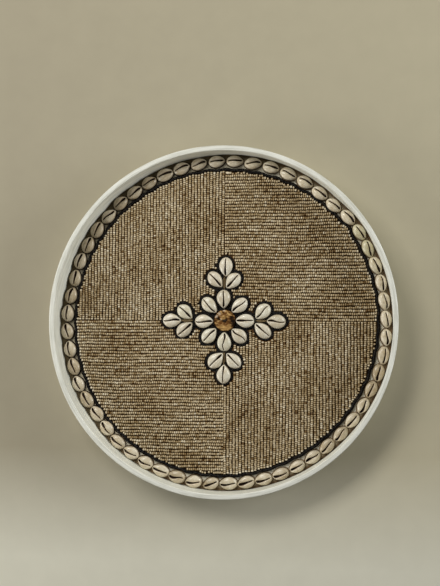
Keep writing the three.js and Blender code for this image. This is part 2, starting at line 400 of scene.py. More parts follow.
def paint_material():
    """Off-white paint with fine brush strokes round the tray, painted a little lighter on the inner wall as
    painted light
    """
    shade = Shade("brushed_white_paint", {"Roughness": 0.55, "Specular IOR Level": 0.35})
    strokes = shade.noise(1.0, vector=round_place(shade, 6, 480))
    patches = shade.noise(14, 3, 0.5)
    tone = shade.ramp(patches, (0.3, (223, 223, 209)), (0.7, (234, 234, 221)))
    lines = shade.ramp(strokes, (0.34, (187, 186, 169)), (0.58, (248, 248, 237)))
    # Painted light: the inner wall gets the lighter tone, and the lip and the outside a darker copy of it
    inside = shade.fade(distance_from_axis(shade), HOOP_INNER + LIP_ROUND, HOOP_INNER)
    painted = shade.mix(0.45, tone, lines)
    outside = shade.mix(1.0, painted, (243, 243, 244), "MULTIPLY")
    return shade.finished(shade.mix(inside, outside, painted), strokes, 0.5, 0.5 * MM)


def canvas_material():
    """Grey plain weave, with painted shade under the shells and at the wall's foot, all darker towards the
    upper left as painted shadow
    """
    shade = Shade("grey_canvas", {"Roughness": 0.92})
    wave = {"Vector": shade.place(), "Scale": 380, "Distortion": 0.6}
    weave = shade.mix(0.5, *[shade.add("TexWave", wave, 1, bands_direction=way) for way in "XY"])
    uneven = shade.ramp(shade.noise(160, 3), (0.3, 0.72), (0.7, 1.0))
    # Painted shade: a dark band under the shells, a darker one at the wall's foot, and bare cloth darker to
    # the upper left
    shell_shade, at_foot = (shade.fade(distance_from_axis(shade), *reach) for reach in (SHELL_SHADE_REACH, FOOT_SHADE_REACH))
    less_shade = to_lower_right(shade)
    plain = shade.mix(less_shade, (200, 190, 162), (246, 240, 218))
    foot_shade_colour = shade.mix(at_foot, (222, 211, 182), (124, 100, 70))
    tone = shade.mix(shell_shade, plain, shade.mix(less_shade, (116, 101, 72), foot_shade_colour))
    tone = shade.mix(1.0, tone, uneven, "MULTIPLY")
    return shade.finished(shade.mix(0.25, tone, weave, "MULTIPLY"), weave, 0.6, 0.3 * MM)


def gold_material():
    """Opaque glass from dark brown to cream, by each bead's tint"""
    shade = Shade("gold_tan_glass_beads", {"Roughness": 0.4, "Specular IOR Level": 0.3})
    glass = shade.ramp(shade.attribute("tint"), (0.0, (48, 25, 2)), (0.25, (106, 74, 24)),
                       (0.5, (170, 146, 104)), (0.75, (206, 188, 153)), (1.0, (236, 224, 196)))
    streak = shade.ramp(shade.noise(900, 2), (0.3, 0.55), (0.7, 1.0))
    return shade.finished(shade.mix(0.25, glass, streak, "MULTIPLY"))


def black_material():
    """Opaque black glass, a little paler on some beads"""
    shade = Shade("black_glass_beads", {"Roughness": 0.32, "Specular IOR Level": 0.18})
    tint = shade.attribute("tint")
    return shade.finished(shade.ramp(tint, (0.0, (8, 5, 3)), (0.8, (15, 11, 8)), (1.0, (36, 29, 22))))


def cowrie_material(name, pale, warm, margin, tint_share):
    """Porcelain, with painted shade near black in the slit and brown beside it and at the margin, partly
    the shell's own tint. A tint browns some shells
    """
    shade = Shade(name, {"Specular IOR Level": 0.45, "Coat Roughness": 0.15})
    spots = shade.noise(170, 4)
    tone = shade.mix(shade.ramp(spots, (0.35, 0.0), (0.7, 1.0)), pale, warm)
    tint = shade.attribute("tint")
    shell_tint = shade.ramp(tint, (0.0, (180, 163, 132)), (0.4, 1.0), (0.8, 1.0), (1.0, (218, 226, 198)))
    tone = shade.mix(tint_share, tone, shell_tint, "MULTIPLY")
    # Partly painted shade: the browner margin darkens where the shell meets the cloth
    tone = shade.mix(shade.attribute("edge"), tone, margin)
    stretched = shade.add("CombineXYZ", {
        axis: shade.math("MULTIPLY", shade.attribute(measure), scale)
        for axis, measure, scale in (("X", "along", 0.15), ("Y", "across", 1.3), ("Z", "tint", 40.0))
    })
    streaks = shade.noise(1.0, 3, vector=stretched)
    tone = shade.mix(0.6, tone, shade.ramp(streaks, (0.3, (205, 196, 176)), (0.6, 1.0)), "MULTIPLY")
    # Painted shade: the slit is painted near black, and the band beside it brown, partly the lips' own tint
    slit = shade.attribute("slit")
    tone = shade.mix(shade.ramp(slit, (0.03, 0.0), (0.35, 0.75)), tone, (132, 100, 64))
    tone = shade.mix(shade.ramp(slit, (0.35, 0.0), (0.8, 1.0)), tone, (34, 18, 7))
    shade.feed(shade.shader, {"Coat Weight": shade.ramp(slit, (0.05, 0.2), (0.4, 0.0)),
                              "Roughness": shade.ramp(slit, (0.05, 0.33), (0.5, 1.0))})
    return shade.finished(tone, streaks, 0.2, 0.25 * MM)


# Spots in the coconut shell: place from SPOTS_FROM and reach, in millimetres
SPOTS_FROM = np.array([*BUTTON_CENTRE, BUTTON_TOP]) + 2 * MM
GOLDEN_SPOTS = [(-3.2, 2.8, 2.0), (-0.4, 3.8, 2.0), (2.4, 5.0, 2.0), (4.6, 6.4, 2.2), (0.6, 10.2, 2.6),
                (-1.0, -8.6, 4.4), (4.6, -7.6, 4.0), (-5.0, -7.0, 3.0)]
# Partly painted highlight: pale spots on the upper left edge
PALE_SPOTS_AND_HIGHLIGHT = [(-9.4, 4.4, 2.0), (-6.8, 7.6, 2.2), (-0.6, 11.2, 1.8), (-4.2, 1.6, 1.6)]
RUSTY_SPOTS = [(0.6, 7.4, 3.4), (-4.6, 5.6, 2.8), (-5.4, -3.4, 4.4), (1.0, -4.4, 4.4), (6.0, 3.0, 3.0)]
# Partly painted shadow: dark spots at the right and lower right edge
DARK_SPOTS_AND_SHADOW = [(-6.9, 1.7, 2.8), (-1.4, 0.4, 2.6), (0.6, 0.0, 2.6), (0.6, -1.8, 2.2), (8.0, 3.0, 3.4),
              (9.4, -0.6, 4.0), (11.0, -4.0, 4.4)]


def coconut_material():
    """Mottled brown shell with golden, pale, rusty and dark spots. Pale ones on the upper left edge are
    partly painted highlight, dark ones at the right and lower right edge partly painted shadow
    """
    shade = Shade("coconut_shell", {"Roughness": 0.55, "Specular IOR Level": 0.05})
    stretched = shade.add("Mapping", {"Vector": shade.place(), "Rotation": (0, 0, math.radians(35)),
                                      "Scale": (1, 2.6, 1)})
    grain = shade.noise(150, 6, 0.75, stretched)
    tone = shade.ramp(grain, (0.34, (34, 18, 6)), (0.44, (72, 44, 17)), (0.52, (112, 76, 36)),
                      (0.6, (206, 168, 108)), (0.72, (88, 54, 22)))
    swirl = shade.add("TexNoise", {"Vector": shade.place(), "Scale": 260}, 1)
    warped = shade.mix(0.004, shade.place(), swirl, "ADD")
    for spots, colour, strength in ((RUSTY_SPOTS, (96, 54, 22), 0.6), (GOLDEN_SPOTS, (212, 170, 104), 0.34),
                                    (PALE_SPOTS_AND_HIGHLIGHT, (222, 200, 170), 0.6), (DARK_SPOTS_AND_SHADOW, (20, 9, 2), 0.96)):
        for x, y, reach in spots:
            centre = SPOTS_FROM + np.array([x, y, 0]) * MM
            apart = shade.add("VectorMath", {0: warped, 1: centre}, "Value", operation="DISTANCE")
            share = shade.fade(apart, reach * MM, 0.4 * reach * MM)
            tone = shade.mix(shade.math("MULTIPLY", share, strength), tone, colour)
    return shade.finished(tone, grain, 0.25, 0.3 * MM)


def thread_material(name, dark, pale, scale=1500, painted_light_colours=None):
    """Thread or a bed of threads, painted paler towards the tray's lower right as painted light if colours
    for it are given
    """
    shade = Shade(name, {"Roughness": 0.9})
    fibre = shade.noise(scale, 3)
    if painted_light_colours:
        less_shade = to_lower_right(shade)
        dark, pale = shade.mix(less_shade, dark, painted_light_colours[0]), shade.mix(less_shade, pale, painted_light_colours[1])
    tone = shade.mix(shade.ramp(fibre, (0.35, 0.0), (0.7, 1.0)), dark, pale)
    return shade.finished(tone, fibre, 0.5, 0.2 * MM)


paint = paint_material()
canvas = canvas_material()
gold_glass = gold_material()
black_glass = black_material()
motif_porcelain = cowrie_material(
    "motif_cowrie_porcelain", (230, 225, 208), (216, 204, 179), (150, 128, 90), 0.3)
rim_porcelain = cowrie_material("rim_cowrie_porcelain", (229, 220, 198), (205, 189, 159), (88, 66, 38), 0.6)
coconut = coconut_material()
browns = (34, 22, 10), (68, 48, 26)
# Painted light: the ring's thread is paler towards the tray's lower right
rim_thread = thread_material("rim_sewing_thread", *browns, painted_light_colours=((92, 70, 44), (150, 124, 88)))
brown_thread = thread_material("brown_sewing_thread", *browns)
tan_thread = thread_material("tan_sewing_thread", (86, 70, 42), (134, 114, 78))
# Partly thread and partly painted shade: dark beds under the bead rows and black strands, showing in the
# gaps where shade falls
brown_bed_and_shade = thread_material("brown_thread_bed_and_shade", (62, 36, 3), (98, 65, 12), 700)
black_bed_and_shade = thread_material("black_thread_bed_and_shade", (6, 4, 3), (16, 12, 8), 700)


# Hoop, board and canvas

def hoop_shape():
    """A straight wall with a rounded lip and a rebate below, bent by hand and so not quite round"""
    foot = HOOP_INNER + REBATE
    lip_centre = HOOP_TOP - LIP_ROUND
    wall_foot = CLOTH_TOP + 0.4 * MM
    profile = [
        (foot, 0),
        *arc((HOOP_OUTER - FOOT_ROUND, FOOT_ROUND), FOOT_ROUND, -90, 0, 2),
        *[(HOOP_OUTER, z) for z in np.linspace(FOOT_ROUND, lip_centre, 7)[1:-1]],
        *arc((HOOP_OUTER - LIP_ROUND, lip_centre), LIP_ROUND, 0, 90, LIP_STEPS),
        *arc((HOOP_INNER + LIP_ROUND, lip_centre), LIP_ROUND, 90, 180, LIP_STEPS),
        *[(HOOP_INNER, z) for z in np.linspace(lip_centre, wall_foot, 8)[1:]],
        (HOOP_INNER, CLOTH_TOP), (HOOP_INNER, BOARD_TOP), (foot, BOARD_TOP),
    ]
    shape = lathe(profile, HOOP_SIDES)
    x, y, z = shape.points.T
    radius = np.hypot(x, y)
    turn = np.arctan2(y, x)
    wobble = sum(math.cos(k) * np.sin(k * turn + 2.1 * k + 40 * z) / 4 for k in (2, 3, 5, 7))
    outside = radius > HOOP_INNER + 0.75 * REBATE
    on_wall = (radius < HOOP_INNER + 0.01 * MM) & (z > CLOTH_TOP + 0.3 * MM)
    depth = np.clip((lip_centre - z) / (lip_centre - wall_foot), 0, 1) * on_wall
    nearer = radius - HOOP_WOBBLE * (1 + wobble) * outside
    nearer -= np.maximum(ring_drift(turn) - SWELL_BEHIND, 0) * depth
    shape.points[:, :2] *= (nearer / radius)[:, None]
    return shape


def disc(radius, low, high, ease, rings):
    """A round plate with eased edges, and rings of points on its faces"""
    radii = np.linspace(0, radius - ease, rings)
    profile = [
        *[(r, low) for r in radii],
        *arc((radius - ease, low + ease), ease, -90, 0, 2)[1:],
        *arc((radius - ease, high - ease), ease, 0, 90, 2),
        *[(r, high) for r in radii[::-1][1:]],
    ]
    return lathe(profile, HOOP_SIDES, closed=False)


piece("painted_hoop", hoop_shape(), paint, "white_paint", "rim_hoop")
board = disc(BOARD_RADIUS, 0, BOARD_TOP, 0.5 * MM, 12)
piece("painted_board", board, paint, "white_paint", "base_board")
cloth = disc(CLOTH_RADIUS, BOARD_TOP, CLOTH_TOP, 0.2 * MM, 40)
backing = piece("backing_canvas", cloth, canvas, "canvas", "backing_cloth")


# Cowries

COWRIE_STATIONS = 48
WIDEST_AT = 0.57
DOME = 0.85
LIP_ROLL = 1.5 * MM
SLIT_WALL = 0.8 * MM
SLIT_FLOOR = 1.2 * MM
TEETH = 11
TOOTH_HEIGHT = 0.11 * MM
TOOTH_REACH = 1.3 * MM


def bulge(t, taper, corner=1.0):
    """Share of a cowrie's half width along its length, drawn in at the tip, and cornered above 1"""
    def swell(at):
        return np.sqrt(at * (1 - at)) * (1 - taper * (1 - at) ** 3)

    return (swell(t) / swell(WIDEST_AT)) ** corner


def smooth(low, high, t):
    """A soft rise from 0 at low to 1 at high"""
    share = np.clip((t - low) / (high - low), 0, 1)
    return share * share * (3 - 2 * share)


def cowrie_side(t, side, half_width, crown, slit_centre, slit_half, fade):
    """Across and height of one lip's points, from the margin over the crown into the slit"""
    lip = slit_centre + side * slit_half
    span = half_width - side * lip
    roll = np.minimum(LIP_ROLL, 0.45 * span)
    shoulder = np.cos(np.array([0, 0.16, 0.33, 0.5, 0.67, 0.84]) * np.pi / 2) ** DOME
    outer = [roll + (span - roll) * share for share in shoulder]
    inner = [roll * share for share in (1, 0.55, 0.22, 0.05, 0)]
    widest = 0.32 * crown
    across = [side * 0.94 * half_width, side * 0.985 * half_width]
    height = [0 * t, 0.16 * crown]
    ridge = np.cos(2 * np.pi * TEETH * t) * fade
    for d in outer + inner:
        rise = np.sqrt(np.maximum(1 - (d / span) ** (2 / DOME), 0))
        inward = 1 - np.minimum(d / roll, 1)
        drop = roll * fade * (1 - np.sqrt(1 - inward ** 2))
        tooth = TOOTH_HEIGHT * ridge * np.exp(-d / TOOTH_REACH)
        across.append(lip + side * (d + 0.5 * tooth))
        height.append(widest + (crown - widest) * rise ** 0.8 - drop + tooth)
    across.append(lip)
    height.append(height[-1] - SLIT_WALL * fade - 0.02 * MM)
    return across, height


def cowrie_shape(length, width, height, taper, slit_out, slit_end, gape, slope=0.0):
    """A cowrie cut flat at its back, slit up: tip at the origin, length along +X.
    Its slit ends at the share slit_end of the length, and slopes inwards on the way"""
    k = np.arange(1, COWRIE_STATIONS) / COWRIE_STATIONS
    t = (k + (1 - np.cos(np.pi * k)) / 2) / 2
    crown = height * (1 - np.abs(2 * t - 1) ** 2.2) ** 0.42
    swell = 4 * t * (1 - t)
    bow = rng.uniform(-0.4, 1.6) * MM * swell
    bend = rng.normal(0, 0.45) * MM * np.sin(2 * np.pi * t)
    lean = (slope + rng.normal(0, 1.4)) * MM * (t - 0.5) * swell
    slit_centre = lean + bend - bow - (slit_out - 0.6 * MM) * swell ** 0.5
    fade = smooth(0.04, 0.13, t) * smooth(slit_end, slit_end - 0.1, t)
    widest_at = rng.uniform(0.14, 0.32)
    thick = rng.uniform(0.15, 0.6) * np.exp(-((t - widest_at) / rng.uniform(0.15, 0.3)) ** 2)
    opening = rng.uniform(0.66, 0.84) + thick - 0.4 * t
    slit_half = gape * opening * MM * fade + 0.03 * MM
    sides = {}
    for side in (-1, 1):
        fuller = 1 + side * rng.uniform(-0.03, 0.05)
        half_width = width / 2 * bulge(t, taper, rng.uniform(0.95, 1.35))
        sides[side] = cowrie_side(t, side, half_width, crown * fuller, slit_centre, slit_half, fade)
    floor = np.minimum(sides[-1][1][-1], sides[1][1][-1]) - SLIT_FLOOR * fade - 0.02 * MM
    across = sides[-1][0] + [slit_centre] + sides[1][0][::-1]
    heights = sides[-1][1] + [floor] + sides[1][1][::-1]
    around = len(across)
    points = np.stack([np.repeat((t * length)[:, None], around, 1), np.stack(across, 1),
                       np.maximum(np.stack(heights, 1), 0)], -1).reshape(-1, 3)
    points, caps = end_fans(points, around, [(0, 0, 0), (length, 0, 0)])
    from_slit = np.abs(np.arange(around) - around // 2)
    slit = np.interp(from_slit, (1, 2, 3, 4, 5), (1, 0.6, 0.3, 0.12, 0))
    edge = np.interp(around // 2 - from_slit, (0, 1, 2, 3, 4), (0.9, 0.6, 0.3, 0.08, 0))
    ends = np.maximum(1 - np.minimum(t, 1 - t) / 0.05, 0) * 0.5
    values = {
        "slit": np.concatenate([(slit[None] * fade[:, None]).ravel(), [0, 0]]),
        "edge": np.concatenate([np.maximum(edge[None], ends[:, None]).ravel(), [0.8, 0.8]]),
        "tint": np.full(len(points), rng.uniform(0, 1)),
        "along": points[:, 0] / MM,
        "across": points[:, 1] / MM,
    }
    return Shape(points, [ring_quads(len(t), around), caps], values)


def cowrie_outline(length, width, taper):
    """The outline of a cowrie on the cloth, anticlockwise from its tip"""
    turn = full_turn(OUTLINE_SIDES)
    t = (1 - np.cos(turn)) / 2
    return np.stack([t * length, -np.sign(np.sin(turn)) * width / 2 * bulge(t, taper)], -1)


def moved_out(outline, distance):
    """A closed outline's points moved out along their normals"""
    return outline + distance * ways_along(outline)[:, ::-1] * (1, -1)


def varied(size, share):
    """A size with each measure up to a share more or less"""
    return tuple(value * (1 + rng.uniform(-share, share)) for value in size)


def tip_and_way(node):
    """Where the tip of the one cowrie in a node lies, and the angle from tip to end"""
    flat = points_of(node)[:, :2]
    apart = norm(flat[:, None] - flat[None], axis=-1)
    ends = flat[list(np.unravel_index(apart.argmax(), apart.shape))]
    tip, end = sorted(ends, key=norm)
    return tip, math.atan2(*(end - tip)[::-1])


MOTIF_TAPER = 0.46
RIM_TAPER = 0.25

# How much nearer to the button the shells' tips lie than in the plain solids
PETALS_IN = 1.3 * MM
ARM_SHELLS_IN = 0.5 * MM

# Where single shells sit off their places, in millimetres
STRAY = {"petal_3": (-0.6, 0.9), "petal_5": (1.0, -0.8), "top_arm_end": (1.8, 0.4),
         "top_arm_side_a": (0.2, 1.0), "top_arm_side_b": (-0.5, 0), "left_arm_side_a": (0, 0.4),
         "left_arm_side_b": (0, -0.4), "right_arm_end": (-1.0, -0.3), "right_arm_side_a": (-1.0, -0.2),
         "right_arm_side_b": (-1.6, -0.2), "bottom_arm_side_b": (1.6, 0.3)}

MOTIF_NODES = [f"petal_cowrie_{i + 1}" for i in range(8)]
for arm in ("right", "top", "left", "bottom"):
    MOTIF_NODES += [f"{arm}_arm_{place}_cowrie" for place in ("end", "side_a", "side_b")]

motif_outlines = []
for node in MOTIF_NODES:
    tip, angle = tip_and_way(node)
    tip = tip + OFF_CENTRE + np.array(STRAY.get(node.replace("_cowrie", ""), (0, 0))) * MM
    length, width, height = varied(MOTIF_SHELL, 0.03)
    turned = angle + math.radians(rng.uniform(-3, 3))
    tip -= (PETALS_IN if "petal" in node else ARM_SHELLS_IN) * towards(turned)
    cowrie = cowrie_shape(length, width, height, MOTIF_TAPER, 0, 0.98, 0.95)
    if node == "right_arm_end_cowrie":
        cowrie.values["tint"][:] = 0
    piece(f"{node}_shell", placed(cowrie, *tip, turned, CLOTH_TOP), motif_porcelain, "cowrie", node)
    motif_outlines.append(on_plane(cowrie_outline(length, width, MOTIF_TAPER), *tip, turned))


# The ring's shells are closer together in some places than in others
rim_angles = FIRST_RIM_ANGLE + full_turn(RIM_SHELLS)
rim_angles -= np.radians(
    1.25 * np.cos(rim_angles) + 0.45 * np.sin(rim_angles) + 0.3 * np.sin(3 * rim_angles))

# The shells lean towards the wall, most of all at the upper right, where the border pushes them up
LEAST_LEAN = math.radians(4)
MORE_LEAN = math.radians(9)
MOST_LEANT_AT = math.radians(28)
LEANT_STRETCH = math.radians(45)
FLANK_SLOPE = 4 * MM
# Painted shadow and light: where ring shells are painted darker, in the wall's shadow, and where paler
PAINTED_SHADOW_AT = math.radians(138)
PAINTED_LIGHT_AT = math.radians(65)


def leant(shape, lean):
    """A cowrie turned outwards about its outer margin. Its inner flank rises from the cloth"""
    x, y, z = shape.points.T
    edge = y.min()
    c, s = math.cos(lean), math.sin(lean)
    foot = (z <= 0) & (y > 0)
    across = edge + (y - edge) * c - z * s + foot * FLANK_SLOPE * s
    height = np.where(z <= 0, 0, (y - edge) * s + z * c)
    edges = np.where(foot, np.maximum(shape.values["edge"] - 2 * s, 0.1), shape.values["edge"])
    return shape._replace(points=np.stack([x, across, height], -1), values={**shape.values, "edge": edges})


thread_loops = []
strings = [[] for _ in range(RIM_SHELLS // SHELLS_ON_A_STRING)]
for i, angle in enumerate(rim_angles):
    length, width, height = varied(RIM_SHELL, 0.045)
    width *= 0.99 - 0.06 * math.cos(angle)
    radius = HOOP_INNER - RIM_WALL_GAP - width / 2 - ring_drift(angle) + rng.uniform(-0.6, 0.2) * MM
    turned = angle + math.pi / 2 + math.radians(3 + rng.normal(0, 3.5) + ASKEW.get(i, 0))
    tip = radius * towards(angle) - towards(turned) * length / 2
    most_leant = max(math.cos(angle - MOST_LEANT_AT), 0)
    slit_out = (0.3 + 1.0 * most_leant ** 2) * MM
    cowrie = cowrie_shape(length, width, height, RIM_TAPER, slit_out, 0.92, 1.2 - 0.3 * most_leant, 1.0)
    off_most = angle_from(MOST_LEANT_AT, angle) / LEANT_STRETCH
    cowrie = leant(cowrie, LEAST_LEAN + MORE_LEAN * math.exp(-off_most ** 2))
    # Painted shadow and light: shells in the wall's shadow at the upper left get a darker tint, those at
    # the upper right a paler one
    if math.cos(angle - PAINTED_SHADOW_AT) > 0.7:
        cowrie.values["tint"][:] *= 0.3
    elif math.cos(angle - PAINTED_LIGHT_AT) > 0.85:
        cowrie.values["tint"][:] = 0.6
    strings[i // SHELLS_ON_A_STRING].append(placed(cowrie, *tip, turned, CLOTH_TOP))
    loop = on_plane(moved_out(cowrie_outline(length, width, RIM_TAPER), 0.3 * MM), *tip, turned)
    thread_loops.append(tube(lifted(loop, CLOTH_TOP + THREAD_RADIUS), THREAD_RADIUS, closed=True))
for i, shells in enumerate(strings):
    piece(f"rim_cowries_{i + 1:02d}", stacked(shells), rim_porcelain, "cowrie",
          f"rim_cowrie_string_{i + 1:02d}")
piece("rim_sewing_thread", stacked(thread_loops), rim_thread, "sewing_thread")


# Beads

# Painted shade on the beads: how much darker they are painted low down, where rows meet, and at the ends,
# where the hole is
PAINTED_SHADE_BELOW = 0.31
PAINTED_SHADE_AT_ENDS = 0.47


def bead_shape(hole, sides=8):
    """A seed bead 1 long and 1 across, with its hole along X"""
    turn = full_turn(sides)
    soft = [np.sign(f(turn)) * np.abs(f(turn)) ** 0.8 for f in (np.cos, np.sin)]
    out = ((1 + hole) / 4 + (1 - hole) / 4 * soft[1])[:, None]
    x = np.repeat(soft[0][:, None] / 2, sides, 1)
    points = np.stack([x, out * np.cos(turn), out * np.sin(turn)], -1)
    return Shape(points.reshape(-1, 3), [ring_quads(sides, sides, closed=True)])


def turns_about(axis, angles):
    """Matrices that turn about X, Y or Z, one for each angle"""
    first, second = (axis + 1) % 3, (axis + 2) % 3
    turns = np.tile(np.eye(3), (len(angles), 1, 1))
    turns[:, first, first] = turns[:, second, second] = np.cos(angles)
    turns[:, second, first] = np.sin(angles)
    turns[:, first, second] = -np.sin(angles)
    return turns


def strung(centres, angles, sizes, tints, tilt=0.08):
    """Beads at centres, each turned to its strand's way and a little tilted"""
    bead = bead_shape(BEAD_HOLE / BEAD_DIAMETER)
    count = len(centres)
    yaw = angles + rng.normal(0, tilt, count)
    pitch = rng.normal(0, tilt, count)
    spin = rng.uniform(0, 2 * np.pi, count)
    turn = turns_about(2, yaw) @ turns_about(1, pitch) @ turns_about(0, spin)
    points = np.einsum("nij,npj->npi", turn, bead.points[None] * sizes[:, None])
    # Painted shade: each bead's tint darkens low down and towards its ends
    below = np.clip(0.5 - points[..., 2] / sizes[:, 2:], 0, 1)
    ends = np.maximum(np.abs(bead.points[:, 0]) - 0.3, 0) / 0.2
    tints = tints[:, None] - PAINTED_SHADE_BELOW * below ** 1.5 - PAINTED_SHADE_AT_ENDS * ends[None]
    points += centres[:, None]
    starts = len(bead.points) * np.arange(count)[:, None, None]
    quads = (bead.faces[0][None] + starts).reshape(-1, 4)
    return Shape(points.reshape(-1, 3), [quads], {"tint": np.clip(tints, 0, 1).ravel()})


DARK_BEADS = 0.03
PALE_BEADS = 0.04


def bead_tints(count):
    """Most beads are near the middle tone, and a few are much darker or paler"""
    tints = rng.normal(0.725, 0.08, count)
    kind = rng.random(count)
    tints = np.where(kind < DARK_BEADS, rng.uniform(0.35, 0.5, count), tints)
    return np.where(kind > 1 - PALE_BEADS, rng.uniform(0.88, 1.02, count), tints)


def distance_to(points, outline):
    """Distance of points on the plane from a closed outline, negative inside it"""
    a, b = outline, np.roll(outline, -1, 0)
    ab = b - a
    ap = points[:, None] - a[None]
    t = np.clip((ap * ab).sum(-1) / (ab * ab).sum(-1), 0, 1)
    nearest = norm(ap - t[..., None] * ab, axis=-1).min(1)
    spans = (a[:, 1] > points[:, 1:]) != (b[:, 1] > points[:, 1:])
    slope = (b[:, 0] - a[:, 0]) / np.where(ab[:, 1] == 0, 1, ab[:, 1])
    crosses = points[:, :1] < a[:, 0] + (points[:, 1:] - a[:, 1]) * slope
    inside = (spans & crosses).sum(1) % 2 == 1
    return np.where(inside, -nearest, nearest)


motif_grounds = motif_outlines + [BUTTON_CENTRE + BUTTON_RADIUS * towards(full_turn(OUTLINE_SIDES))]
MOTIF_REACH = max(norm(outline, axis=1).max() for outline in motif_outlines)
NEAR_MOTIF = MOTIF_REACH + 8 * MM


def distance_to_motif(points, without=None):
    """Distance from the motif's shells and button, or 1 m where they are far off"""
    nearest = np.full(len(points), 1.0)
    near = norm(points, axis=1) < NEAR_MOTIF
    for i, outline in enumerate(motif_grounds):
        if i != without and near.any():
            nearest[near] = np.minimum(nearest[near], distance_to(points[near], outline))
    return nearest


# Where the black strand bends out between two shells
STRAND_BEND_AT = math.radians(36.5)
STRAND_BEND = 2.3 * MM
STRAND_BEND_REACH = math.radians(3.4)


def border_radius(turn):
    """Distance of the hand-laid black strand from the axis"""
    bend = STRAND_BEND * np.exp(-(angle_from(STRAND_BEND_AT, turn) / STRAND_BEND_REACH) ** 2)
    drift = 0.85 * np.cos(turn + 0.5) + 0.92 * np.cos(2 * turn - 1.31) + 0.52 * np.cos(3 * turn - 0.25)
    first = rim_angles[0]
    spots = np.append(rim_angles, first + 2 * np.pi)
    shells_passed = np.interp((turn - first) % (2 * np.pi) + first, spots, np.arange(RIM_SHELLS + 1))
    return BORDER_MIDDLE + bend + (drift - 0.6 * np.cos(2 * np.pi * shells_passed)) * MM


def free_runs(free, places):
    """Start and end of each unbroken stretch of places that are free"""
    steps = np.diff(free.astype(int), prepend=0, append=0)
    return zip(places[np.flatnonzero(steps == 1)], places[np.flatnonzero(steps == -1) - 1])


def row_waver(along, x, y):
    """How far a hand-sewn row strays sideways, with its neighbours and alone, and how its tone changes"""
    first, second, third = rng.uniform(0, 2 * np.pi, 3)
    wave = rng.uniform(90, 200)
    together = 0.45 * MM * (np.sin(31 * x + 17 * y + 0.5) + 0.6 * np.sin(67 * x - 23 * y + 1.9))
    alone = 0.15 * MM * (np.sin(wave * along + first) + np.sin(2.3 * wave * along + second))
    batch = 0.035 * (np.sin(61 * x + 38 * y + 1.0) + np.sin(73 * y - 41 * x + 2.3))
    change = np.sin(0.7 * wave * along + third) + 0.6 * np.sin(3.1 * wave * along + first)
    return together + alone, 0.055 * change, batch


# Places tried for loose beads, and how close two beads may lie, as a share of their size
LOOSE_TRIES = 6000
OUTLINE_TRIES = 9000
LOOSE_SPACE = 0.82


def loose_beads(turn, centres):
    """Single beads in the gaps between a quarter's rows and the border or the motif"""
    ways = turn + rng.uniform(0, np.pi / 2, LOOSE_TRIES)
    near_border = border_radius(ways) - BEAD_DIAMETER / 2 - rng.uniform(1, 5, LOOSE_TRIES) * MM
    at_border = rng.random(LOOSE_TRIES) < 0.5
    radius = np.where(at_border, near_border, rng.uniform(0, NEAR_MOTIF, LOOSE_TRIES))
    tries = radius[:, None] * towards(ways)
    own = (tries - OFF_CENTRE) @ turned_by(-turn)
    room = SEWN_GAP + OUTLINE_BEAD + 0.5 * BEAD_DIAMETER
    tries = tries[(own.min(1) > BEAD_STEP / 2) & (distance_to_motif(tries) > room)]
    apart = norm(tries[:, None] - centres[None, :, :2], axis=-1).min(1)
    kept = []
    for point in tries[apart > LOOSE_SPACE * BEAD_DIAMETER]:
        if all(norm(point - other) > LOOSE_SPACE * BEAD_DIAMETER for other in kept):
            kept.append(point)
    return lifted(np.array(kept).reshape(-1, 2), CLOTH_TOP + BEAD_DIAMETER / 2)


